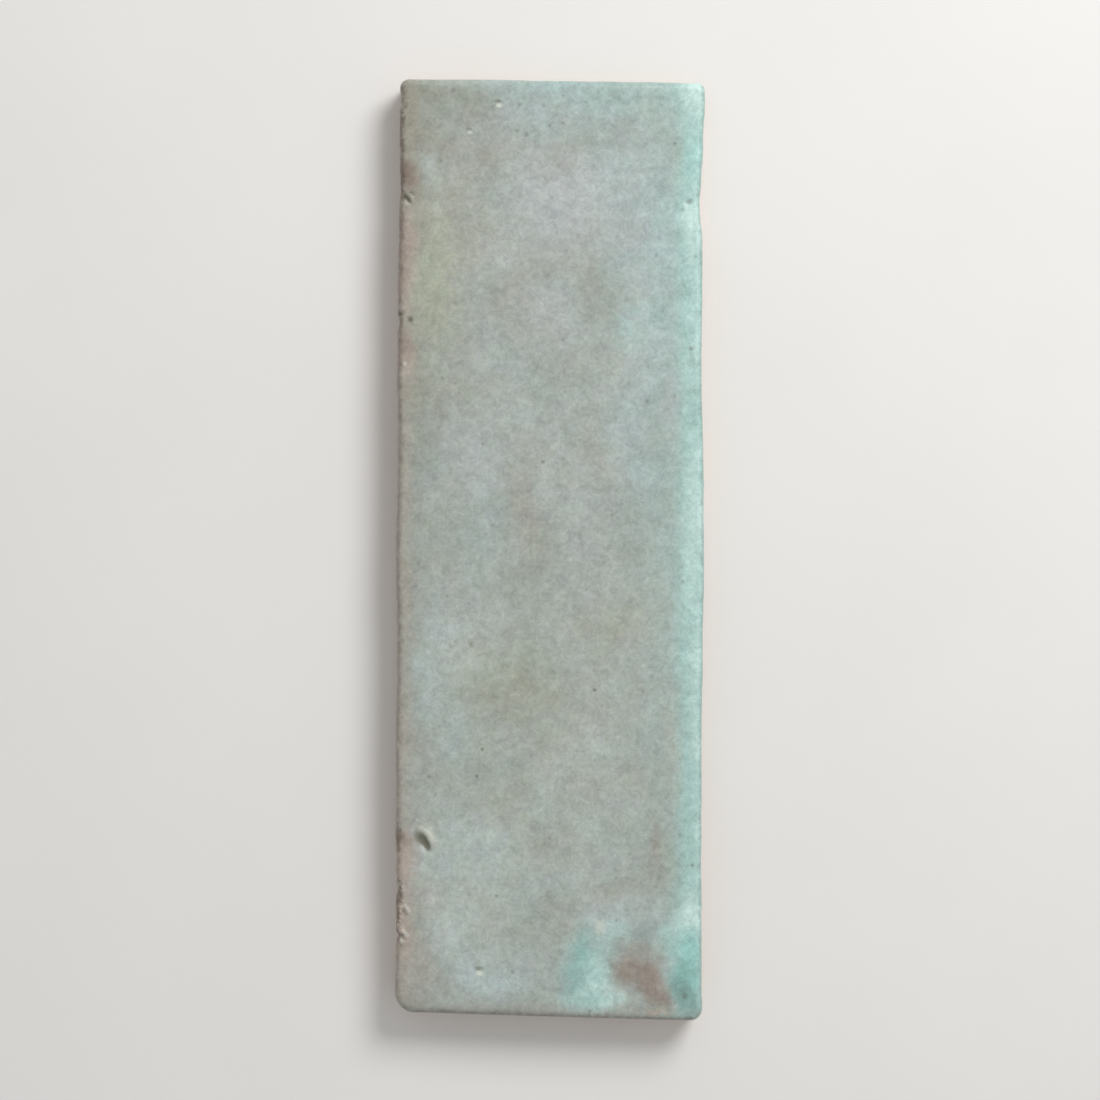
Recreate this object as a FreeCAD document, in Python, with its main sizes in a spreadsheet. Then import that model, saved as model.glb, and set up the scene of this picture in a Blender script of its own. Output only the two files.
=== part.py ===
# A glazed subway wall tile, pressed by hand and fired as one piece of earthenware.
# It lies on its bare back with the glazed face up: +X runs across the tile, +Y along it, +Z out of the face.
# The origin is the middle of the back. "Near" is the -Y end, "far" the +Y end, "left" -X and "right" +X.
# Lengths are millimetres and angles are degrees.

import FreeCAD, Part
import os
import Sketcher
from enum import IntEnum

# Driving dimensions: cell name, value, what it measures
SIZES = [
    ("tile_width", 65.0, "overall width of the face, along X"),
    ("tile_length", 198.0, "overall length of the face, along Y"),
    ("tile_thickness", 11.0, "from the back to the highest point of the face"),
    ("crown_across", 0.6, "fall of the pillowed face from its middle to a long edge"),
    ("crown_along", 0.5, "fall of the pillowed face from its middle to an end"),
    ("edge_roll", 1.5, "radius of the rolled edge round the face"),
    ("edge_land", 1.5, "upright band of the side, under the rolled edge at its lowest"),
    ("side_draft", 3.0, "angle by which the side leans in below that band"),
    ("back_bevel", 0.5, "bevel round the back"),
    ("left_lean", 1.0, "how far the far end of the left side is cut in"),
    ("right_lean", 0.5, "how far the near end of the right side is cut in"),
    ("far_slope", 0.9, "how far the right end of the far side is cut back"),
    ("near_slope", 1.9, "how far the left end of the near side is cut back"),
    ("near_left_round", 4.0, "corner radius in plan"),
    ("near_right_round", 2.4, "corner radius in plan"),
    ("far_right_round", 1.6, "corner radius in plan"),
    ("far_left_round", 2.0, "corner radius in plan"),
    ("cut_margin", 1.0, "how far the cut that shapes the face runs past the tile"),
]
SIZE = {name: value for name, value, meaning in SIZES}

# Corners of the outline before rounding: name, signs of X and Y, and the distances from the middle
CORNERS = [
    ("near_left", -1, -1, "sizes.tile_width / 2", "sizes.tile_length / 2 - sizes.near_slope"),
    ("near_right", 1, -1, "sizes.tile_width / 2 - sizes.right_lean", "sizes.tile_length / 2"),
    ("far_right", 1, 1, "sizes.tile_width / 2", "sizes.tile_length / 2 - sizes.far_slope"),
    ("far_left", -1, 1, "sizes.tile_width / 2 - sizes.left_lean", "sizes.tile_length / 2"),
]

# Height of the band's lower edge, where the tile is widest
WIDEST = ("sizes.tile_thickness - sizes.crown_across - sizes.crown_along"
          " - sizes.edge_roll - sizes.edge_land")

# The face's cut reaches this far across and along the tile
CUT_HALF_WIDTH = "sizes.tile_width / 2 + sizes.cut_margin"
CUT_HALF_LENGTH = "sizes.tile_length / 2 + sizes.cut_margin"

# Radius of the arc across the face, and how far the arc has come down where the cut ends
ACROSS_RADIUS = "(sizes.tile_width ^ 2 / 4 + sizes.crown_across ^ 2) / (2 * sizes.crown_across)"
END_FALL = "sizes.crown_along * (1 + 2 * sizes.cut_margin / sizes.tile_length) ^ 2"

# Sections of the face's cut: name, and which end of the tile it is at
FACE_SECTIONS = [("near_section", -1), ("middle_section", 0), ("far_section", 1)]


class Point(IntEnum):
    """A curve's points, as a sketch numbers them."""
    START = 1
    END = 2
    CENTRE = 3


class Fixed(IntEnum):
    """A sketch's own origin and upright axis, as a sketch numbers them."""
    ORIGIN = -1
    UPRIGHT_AXIS = -2


class FaceCurve(IntEnum):
    """The curves of a section of the face's cut, in the order that they are drawn."""
    ARC = 0
    LEFT_LINE = 1
    TOP_LINE = 2
    RIGHT_LINE = 3


def vector(x, y):
    return FreeCAD.Vector(x, y, 0)


def make_sheet(doc):
    """The spreadsheet of driving dimensions, one aliased cell for each."""
    sheet = doc.addObject("Spreadsheet::Sheet", "sizes")
    for row, (name, value, meaning) in enumerate(SIZES, start=1):
        sheet.set(f"A{row}", str(value))
        sheet.setAlias(f"A{row}", name)
        sheet.set(f"B{row}", meaning)
    doc.recompute()


def new_sketch(body, name, plane_role):
    """An empty sketch on one of the body's origin planes."""
    plane = next(f for f in body.Origin.OriginFeatures if f.Role == plane_role)
    sketch = body.newObject("Sketcher::SketchObject", name)
    sketch.AttachmentSupport = (plane, "")
    sketch.MapMode = "FlatFace"
    return sketch


def join_in_a_loop(sketch, count):
    """Joins the end of each of the sketch's curves to the start of the next."""
    for curve in range(count):
        following = (curve + 1) % count
        sketch.addConstraint(Sketcher.Constraint("Coincident", curve, Point.END, following, Point.START))


def bind(sketch, name, rule, constraint):
    """Adds a named dimension to a sketch and ties it to the sheet."""
    index = sketch.addConstraint(constraint)
    sketch.renameConstraint(index, name)
    sketch.setExpression(f"Constraints.{name}", rule)


def bind_across(sketch, name, rule, curve, point):
    """Ties a point's distance from the sketch's origin, along the sketch's X, to the sheet."""
    x = sketch.getPoint(curve, point).x
    ends = (Fixed.ORIGIN, Point.START, curve, point) if x > 0 else (curve, point, Fixed.ORIGIN, Point.START)
    bind(sketch, name, rule, Sketcher.Constraint("DistanceX", *ends, abs(x)))


def bind_up(sketch, name, rule, curve, point):
    """Ties a point's distance from the sketch's origin, along the sketch's Y, to the sheet."""
    y = sketch.getPoint(curve, point).y
    ends = (Fixed.ORIGIN, Point.START, curve, point) if y > 0 else (curve, point, Fixed.ORIGIN, Point.START)
    bind(sketch, name, rule, Sketcher.Constraint("DistanceY", *ends, abs(y)))


def make_outline(body):
    """The four hand-cut sides, a little out of square, at the height where the tile is widest."""
    sketch = new_sketch(body, "outline", "XY_Plane")
    sketch.setExpression("AttachmentOffset.Base.z", WIDEST)
    points = [vector(x_sign * SIZE["tile_width"] / 2, y_sign * SIZE["tile_length"] / 2)
              for name, x_sign, y_sign, x_rule, y_rule in CORNERS]
    for side, start in enumerate(points):
        sketch.addGeometry(Part.LineSegment(start, points[(side + 1) % len(points)]))
    join_in_a_loop(sketch, len(points))
    for side, (name, x_sign, y_sign, x_rule, y_rule) in enumerate(CORNERS):
        bind_across(sketch, name + "_x", x_rule, side, Point.START)
        bind_up(sketch, name + "_y", y_rule, side, Point.START)
    return sketch


def make_slab(body, outline):
    """The blank: upright above the widest line, leaning in below it down to the back."""
    slab = body.newObject("PartDesign::Pad", "slab")
    slab.Profile = outline
    slab.SideType = "Two sides"
    slab.setExpression("Length", f"sizes.tile_thickness + sizes.cut_margin / 2 - ({WIDEST})")
    slab.setExpression("Length2", WIDEST)
    slab.setExpression("TaperAngle2", "-sizes.side_draft")
    return slab


def round_corner(body, base, name, x_sign, y_sign):
    """Rounds one corner of the outline, from the back to the top of the blank."""
    edges = []
    for number, edge in enumerate(base.Shape.Edges, start=1):
        lower, upper = edge.Vertexes[0].Point, edge.Vertexes[-1].Point
        middle = edge.CenterOfMass
        here = middle.x * x_sign > SIZE["tile_width"] / 3 and middle.y * y_sign > SIZE["tile_length"] / 3
        if here and abs(upper.z - lower.z) > SIZE["edge_land"]:
            edges.append(f"Edge{number}")
    corner = body.newObject("PartDesign::Fillet", name + "_corner")
    corner.Base = (base, edges)
    corner.setExpression("Radius", f"sizes.{name}_round")
    return corner


def make_face_section(body, name, end):
    """What the face's cut takes away at one place along the tile: all above an arc, highest in the middle."""
    sketch = new_sketch(body, name, "XZ_Plane")
    sketch.setExpression("AttachmentOffset.Base.z", f"{-end} * ({CUT_HALF_LENGTH})")
    half = SIZE["tile_width"] / 2
    side_height = SIZE["tile_thickness"] - SIZE["crown_across"]
    top_height = SIZE["tile_thickness"] + SIZE["cut_margin"]
    right, left = vector(half, side_height), vector(-half, side_height)
    top_right, top_left = vector(half, top_height), vector(-half, top_height)
    sketch.addGeometry(Part.Arc(right, vector(0, SIZE["tile_thickness"]), left))
    sketch.addGeometry(Part.LineSegment(left, top_left))
    sketch.addGeometry(Part.LineSegment(top_left, top_right))
    sketch.addGeometry(Part.LineSegment(top_right, right))
    join_in_a_loop(sketch, 4)
    middle = (FaceCurve.ARC, Point.CENTRE)
    sketch.addConstraint(Sketcher.Constraint("PointOnObject", *middle, Fixed.UPRIGHT_AXIS))
    sketch.addConstraint(Sketcher.Constraint("Vertical", FaceCurve.LEFT_LINE))
    sketch.addConstraint(Sketcher.Constraint("Horizontal", FaceCurve.TOP_LINE))
    sketch.addConstraint(Sketcher.Constraint("Vertical", FaceCurve.RIGHT_LINE))
    radius = sketch.Geometry[FaceCurve.ARC].Radius
    bind(sketch, "across_radius", ACROSS_RADIUS, Sketcher.Constraint("Radius", FaceCurve.ARC, radius))
    arc_top = f"sizes.tile_thickness - {abs(end)} * {END_FALL}"
    bind_up(sketch, "centre_depth", f"{ACROSS_RADIUS} - ({arc_top})", *middle)
    bind_across(sketch, "right_reach", CUT_HALF_WIDTH, FaceCurve.RIGHT_LINE, Point.START)
    bind_across(sketch, "left_reach", CUT_HALF_WIDTH, FaceCurve.LEFT_LINE, Point.END)
    bind_up(sketch, "top_reach", "sizes.tile_thickness + sizes.cut_margin", FaceCurve.TOP_LINE, Point.START)
    return sketch


def cut_face(body, sections):
    """Pillows the face, so that it falls from its middle to all four edges."""
    face = body.newObject("PartDesign::SubtractiveLoft", "pillowed_face")
    face.Profile = sections[0]
    face.Sections = sections[1:]
    return face


def edges_round(shape, face):
    """Names of a shape's edges that bound one of its faces."""
    names = []
    for number, edge in enumerate(shape.Edges, start=1):
        if any(edge.isSame(other) for other in face.Edges):
            names.append(f"Edge{number}")
    return names


def roll_edge(body, base):
    """Rolls the face over into the sides."""
    top = max(base.Shape.Faces, key=lambda face: face.CenterOfMass.z)
    roll = body.newObject("PartDesign::Fillet", "rolled_edge")
    roll.Base = (base, edges_round(base.Shape, top))
    roll.setExpression("Radius", "sizes.edge_roll")
    return roll


def bevel_back(body, base):
    """Takes the sharp edge off the back."""
    back = min(base.Shape.Faces, key=lambda face: face.CenterOfMass.z)
    bevel = body.newObject("PartDesign::Chamfer", "bevelled_back")
    bevel.Base = (base, edges_round(base.Shape, back))
    bevel.setExpression("Size", "sizes.back_bevel")
    return bevel


def must_remove(doc, feature, base):
    """Recomputes, and stops the build where a feature takes no clay away from the one before it."""
    doc.recompute()
    if not feature.Shape.Volume < base.Shape.Volume:
        raise RuntimeError(f"{feature.Name} removes nothing")


def check(doc, body):
    """Stops the build where anything in the document failed, or the tile isn't one sound solid."""
    for item in doc.Objects:
        if "Invalid" in item.State or "Error" in item.State:
            raise RuntimeError(f"{item.Name} is {item.State}")
    if body.Shape.isNull() or not body.Shape.isValid() or len(body.Shape.Solids) != 1:
        raise RuntimeError(f"{body.Label} isn't one valid solid")


def main():
    doc = FreeCAD.newDocument("subway_tile")
    make_sheet(doc)
    body = doc.addObject("PartDesign::Body", "wall_tile")
    outline = make_outline(body)
    doc.recompute()
    blank = make_slab(body, outline)
    doc.recompute()
    for name, x_sign, y_sign, x_rule, y_rule in CORNERS:
        corner = round_corner(body, blank, name, x_sign, y_sign)
        must_remove(doc, corner, blank)
        blank = corner
    sections = [make_face_section(body, *section) for section in FACE_SECTIONS]
    doc.recompute()
    face = cut_face(body, sections)
    must_remove(doc, face, blank)
    roll = roll_edge(body, face)
    must_remove(doc, roll, face)
    bevel = bevel_back(body, roll)
    must_remove(doc, bevel, roll)
    check(doc, body)
    os.makedirs("parts", exist_ok=True)
    body.Shape.exportStep(f"parts/{body.Label}.step")


main()
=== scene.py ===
"""A handmade glazed wall tile, lying on its bare back with the glazed face up, on a plain pale stage."""

import math

import bpy
import numpy as np
from bpy.props import FloatProperty, FloatVectorProperty, IntProperty, PointerProperty
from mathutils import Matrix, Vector


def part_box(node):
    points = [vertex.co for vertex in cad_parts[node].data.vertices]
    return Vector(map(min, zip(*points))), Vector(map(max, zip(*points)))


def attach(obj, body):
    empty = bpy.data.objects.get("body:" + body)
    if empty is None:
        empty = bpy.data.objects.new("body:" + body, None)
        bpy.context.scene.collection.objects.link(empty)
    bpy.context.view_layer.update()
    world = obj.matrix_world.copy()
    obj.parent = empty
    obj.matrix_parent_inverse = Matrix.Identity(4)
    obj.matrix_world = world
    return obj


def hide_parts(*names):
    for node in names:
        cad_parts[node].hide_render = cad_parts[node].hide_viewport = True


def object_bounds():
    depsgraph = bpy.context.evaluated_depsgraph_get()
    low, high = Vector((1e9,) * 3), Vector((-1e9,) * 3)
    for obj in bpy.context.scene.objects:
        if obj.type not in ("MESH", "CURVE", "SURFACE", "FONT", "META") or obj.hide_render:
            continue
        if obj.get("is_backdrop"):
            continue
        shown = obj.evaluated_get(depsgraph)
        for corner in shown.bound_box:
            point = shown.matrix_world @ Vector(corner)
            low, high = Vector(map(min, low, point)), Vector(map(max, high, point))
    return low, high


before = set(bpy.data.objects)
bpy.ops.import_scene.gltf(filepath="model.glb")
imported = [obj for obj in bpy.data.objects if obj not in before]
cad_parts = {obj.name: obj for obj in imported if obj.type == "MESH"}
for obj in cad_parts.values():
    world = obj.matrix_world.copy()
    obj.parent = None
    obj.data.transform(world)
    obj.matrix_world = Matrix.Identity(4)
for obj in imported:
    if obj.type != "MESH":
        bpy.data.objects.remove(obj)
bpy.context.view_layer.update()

bl_info = {
    "name": "Handmade Wall Tile",
    "version": (1, 0, 0),
    "blender": (4, 5, 0),
    "location": "View3D > Sidebar > Wall Tile",
    "description": "Adds a hand-pressed glazed wall tile and a plain stage to show it on",
    "category": "Add Mesh",
}

NODE_LOW, NODE_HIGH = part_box("wall_tile")
MM = 0.001
WIDTH, LENGTH, THICKNESS = ((high - low) / MM for low, high in zip(NODE_LOW, NODE_HIGH))


# Settings


def distance(name, description, millimetres):
    """A length in the panel, which is metres inside."""
    return FloatProperty(name=name, description=description, default=millimetres * MM, unit="LENGTH",
                         precision=5)


def colour(name, description, *levels):
    """A colour in the panel, from screen levels of 0 to 255. It is linear inside."""
    shares = [level / 255 for level in levels]
    linear = [share / 12.92 if share <= 0.04045 else ((share + 0.055) / 1.055) ** 2.4 for share in shares]
    return FloatVectorProperty(name=name, description=description, default=linear, subtype="COLOR", size=3,
                               min=0, max=1)


class TileSizes(bpy.types.PropertyGroup):
    """Sizes of the fired tile."""

    width: distance("Width", "Across the face, from the CAD box", WIDTH)
    length: distance("Length", "Along the face, from the CAD box", LENGTH)
    thickness: distance("Thickness", "From the back to the crown, from the CAD box", THICKNESS)
    crown_across: distance("Crown across", "Fall of the face from its middle to a long edge", 0.6)
    crown_along: distance("Crown along", "Fall of the face from its middle to an end", 0.5)
    edge_roll: distance("Edge roll", "Radius of the rolled edge round the face", 1.5)
    widest: distance("Widest height", "Height above the back where the side starts to lean in", 6.9)
    side_draft: FloatProperty(name="Side draft", description="How far the side leans in below that height",
                              default=math.radians(3), subtype="ANGLE")
    back_bevel: distance("Back bevel", "Bevel round the back", 0.5)
    left_lean: distance("Left lean", "How far the far end of the left side is cut in", 1.0)
    right_lean: distance("Right lean", "How far the near end of the right side is cut in", 0.5)
    far_slope: distance("Far slope", "How far the right end of the far side is cut back", 0.9)
    near_slope: distance("Near slope", "How far the left end of the near side is cut back", 1.9)
    near_left_round: distance("Near left corner", "Radius in plan", 4.0)
    near_right_round: distance("Near right corner", "Radius in plan", 2.4)
    far_right_round: distance("Far right corner", "Radius in plan", 1.6)
    far_left_round: distance("Far left corner", "Radius in plan", 2.0)
    pitch: distance("Mesh pitch", "Between the mesh lines in the middle of the face", 0.48)
    seed: IntProperty(name="Seed", description="Picks another set of hand-made waves", default=7, min=0)


class GlazeColours(bpy.types.PropertyGroup):
    """Colours of the glaze and of the clay under it. Some of them also paint shade and highlights."""

    thin: colour("Thin glaze", "The ground where the glaze ran thin", 149, 151, 141)
    thick: colour("Thick glaze", "The ground where the glaze lies thick", 180, 192, 192)
    lilac: colour("Lilac grey", "Cool washes", 179, 181, 182)
    olive: colour("Olive", "Warm green washes", 166, 172, 149)
    slate: colour("Slate", "Grey smudges", 146, 160, 156)
    # Aqua: the pool, and along the far edge partly painted highlight
    aqua: colour("Aqua", "Pool along the right side", 163, 199, 192)
    pale_aqua: colour("Pale aqua", "Thickest of the pool", 203, 228, 222)
    turquoise: colour("Turquoise", "Brightest drops on the right side", 154, 203, 197)
    teal: colour("Teal", "Drops and streaks of copper", 138, 184, 177)
    # Deep teal: the darkest drop, and painted shade along the right arris
    deep_teal: colour("Deep teal", "Darkest drop, and the right arris", 122, 152, 146)
    tan: colour("Tan", "Glaze broken over the clay", 177, 161, 150)
    # Peach: pale crumbs by the burnt patch, and painted highlight on the tops of the crumbs on the left edge
    peach: colour("Peach", "Pale crumbs by the burnt patch and on the left edge", 201, 185, 168)
    moss: colour("Moss", "Thin glaze down the far left edge", 150, 146, 132)
    # Umber: also partly painted shade along the near edge
    umber: colour("Umber", "Fringe of the burnt patch, and dull washes", 148, 147, 138)
    brown: colour("Brown", "Thin glaze, burnt over the clay", 149, 137, 127)
    # Burnt edge: the burnt foot of the glaze, and partly painted shade along the left and near arrises and
    # between the crumbs
    burnt: colour("Burnt edge", "Broken line along the arris", 112, 98, 86)
    # Speck: iron specks and dark grains, and painted shade in the pits, in the hollows by the crumbs and at
    # the far rims of the pinholes
    speck_and_shade: colour("Speck", "Iron specks and the floors of pits", 88, 86, 68)
    # Cream: pale crumbs, and painted highlights for the pin glints, the pale grains and the lit lips of the
    # pit and of the pinholes
    cream: colour("Cream", "Pale crumbs, pin glints and the lip of a pit", 216, 220, 207)
    clay: colour("Clay", "The bare fired body", 190, 166, 145)
    dark_clay: colour("Dark clay", "Grog and stains in the body", 148, 122, 102)


class StageSettings(bpy.types.PropertyGroup):
    """Light, floor and camera."""

    key_power: FloatProperty(name="Key light", description="Power of the soft key light", default=5.6, min=0,
                             unit="POWER")
    key_size: distance("Key light size", "Across the soft key light", 450)
    sky: FloatProperty(name="Sky", description="Strength of the even light all round", default=0.48, min=0)
    backdrop: colour("Backdrop", "What the far floor and the sky fade to", 232, 230, 227)
    floor: colour("Floor", "Plain pale floor", 236, 234, 231)
    floor_shade: colour("Floor shade", "Faint clouds on the floor", 228, 226, 223)
    lens: FloatProperty(name="Lens", description="Focal length of the camera", default=120, min=1,
                        unit="CAMERA")
    frame_share: FloatProperty(name="Share of frame", default=0.86, min=0.1, max=1, subtype="FACTOR",
                               description="Share of the picture's height that the tile fills")


# Marks of the hand
# Places on the tile are in millimetres, across and along from its middle.

# How far each long side wanders in from the straight cut: (along, inwards)
LEFT_WANDER = [(-99, 0), (-78, 0.07), (-59, -0.03), (-40, -0.13), (-20, 0.05), (-1, -0.3), (18, -0.03),
               (37, -0.18), (56, -0.15), (76, 0), (95, 0), (99, 0)]
RIGHT_WANDER = [(-99, 0.1), (-78, 0.28), (-40, 0.36), (-20, 0.2), (-1, -0.1), (18, 0.02), (37, 0.5),
                (56, 0.35), (66, 0.4), (71, 0.85), (74, 1), (78, 0.75), (86, 0.3), (95, 0), (99, 0)]

# How ragged the left arris is: (along, share)
LEFT_RAGGED = [(-99, 0.15), (-86, 0.4), (-82, 1), (-73, 0.95), (-69, 0.3), (-62, 0.9), (-56, 0.2),
               (-20, 0.3), (20, 0.25), (40, 0.45), (50, 0.7), (58, 0.35), (64, 0.6), (70, 0.7), (76, 1),
               (90, 1), (99, 0.6)]

# Where crumbs of glaze stand on it: (along, share)
LEFT_CRUMBS = [(-99, 0), (-86, 0.2), (-82, 1), (-72, 0.9), (-67, 0.1), (68, 0.1), (74, 0.6),
               (80, 0.15), (99, 0.1)]

# Ovals are (across, along, half width, half length, and a turn in degrees if they are turned).

# Pits in the glaze: (depth, lip, stain, oval). The stain darkens the pit in paint: partly its dark floor,
# partly painted shade on its walls.
PITS = [
    (0.28, 0.05, 0.6, -27, -62.2, 1.9, 3.5, 33), (0.42, 0, 0.95, -26.5, -62.6, 1.2, 3.1, 32),
    (0.45, 0.05, 0.85, -30.9, 73.5, 0.65, 2, 46), (0.22, 0.03, 0.6, -29.8, 74.6, 0.45, 1, 57),
    (0.3, 0.02, 0.35, -31.8, -61.9, 1, 1.4), (0.24, 0.03, 0.75, -32, 49, 0.9, 0.7),
    (0.16, 0.03, 0.45, 29.9, 73.8, 1.4, 1, 20),
]

# Low places, ridges and crumbs of the face: (height, oval)
SWELLS = [
    (0.12, 20, -90.5, 4.5, 7.5, 32), (-0.1, 8, -90, 5, 6, -20), (0.1, 29, 70.5, 2.4, 2.8),
    (-0.1, -27, -65, 3, 4.5), (0.06, 27.5, 0, 4, 80), (0.2, -25.3, -61.1, 0.9, 2.8, 36),
    (0.12, -29.9, 73.6, 0.5, 1.1, 50), (0.22, -30, -77, 0.6, 1.2, 37),
    (0.22, -30.4, -82.2, 0.6, 1.3, 45), (0.14, -31, -73.4, 0.7, 0.7), (0.16, -31.4, -83.6, 0.7, 0.5),
]

# Broad casts of the glaze: (thickness, warmth, oval)
CASTS = [
    (0.42, 0, 14, 75, 34, 46), (0, -1, 0, 92, 40, 13), (-0.45, 0, -23, 86, 6, 9), (-0.25, 0, -2, 86, 14, 8),
    (0.38, -0.3, 20, 38, 13, 50), (0, -0.6, 20, 66, 15, 60), (0, -0.75, 22, 8, 11, 32),
    (0, 0.9, -20, 62, 16, 24), (-0.85, 0.3, 14, 53.5, 10, 12, 8), (-0.5, 0, 10, 87, 15, 8),
    (-0.45, 0, -15, 86, 12, 12), (-0.95, 0.1, -21, 95, 15, 9), (0.2, 0.25, -4, 74, 8, 9),
    (-0.4, 0, -20, 37, 11, 18), (-0.3, 0.2, -28, 36, 7, 26), (0.35, 0, -15, 17, 7, 12),
    (-0.45, 0.2, -4, 8, 6, 24, -4), (-0.4, 0, 9, 22, 8, 12), (-0.25, 0, 24, 28, 5, 18),
    (0.25, -0.2, -16, 0, 6, 14), (0.35, -0.2, -21, -21, 9, 12), (-0.45, 0.1, 14, -16, 12, 11),
    (-0.4, 0.3, -7, -32, 14, 15), (0.3, 0.2, 9, -38, 11, 7), (0.95, 0.1, -17, -66, 16, 22),
    (0.3, 0, -4, -76, 8, 15), (-0.5, 0.3, 22, -62, 6, 17), (-0.3, -0.2, 14, -71, 5, 4),
    (0.55, -0.35, 19, -75, 9, 7), (-0.4, -0.2, 2, -79, 9, 7), (0.5, -0.3, -14, -88, 16, 9),
    (0.2, -0.35, -2, -91, 20, 8), (0.35, -0.2, -19, -89, 9, 6), (0.45, 0.1, -27, -82, 8, 11),
    (0.4, 0.8, -27, -72, 8, 17), (0.8, -0.6, 14, -81, 9, 7), (0.8, 0, -24, -40, 8, 16),
    (0.5, 0, -24, -77, 9, 15), (0.4, 0, -26, -18, 7, 12), (0.6, 0, -28, -29, 6, 10), (0.3, 0, -13, 9, 7, 8),
    (0.4, 0, -1, -68, 8, 10), (0.45, 0, -17, -57, 9, 9), (-0.65, 0, -5, 52, 10, 11),
    (-0.35, 0, 10, 67, 10, 10), (-0.35, 0, -14, 80, 7, 6), (-0.6, 0, -25, 82, 6, 6),
    (0.3, -0.3, 21, 12, 7, 9), (-0.35, 0, 2, 77, 9, 9), (0.35, 0, -12, -26, 9, 9),
    (0.35, 0, 8, -63, 10, 10),
]

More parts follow.
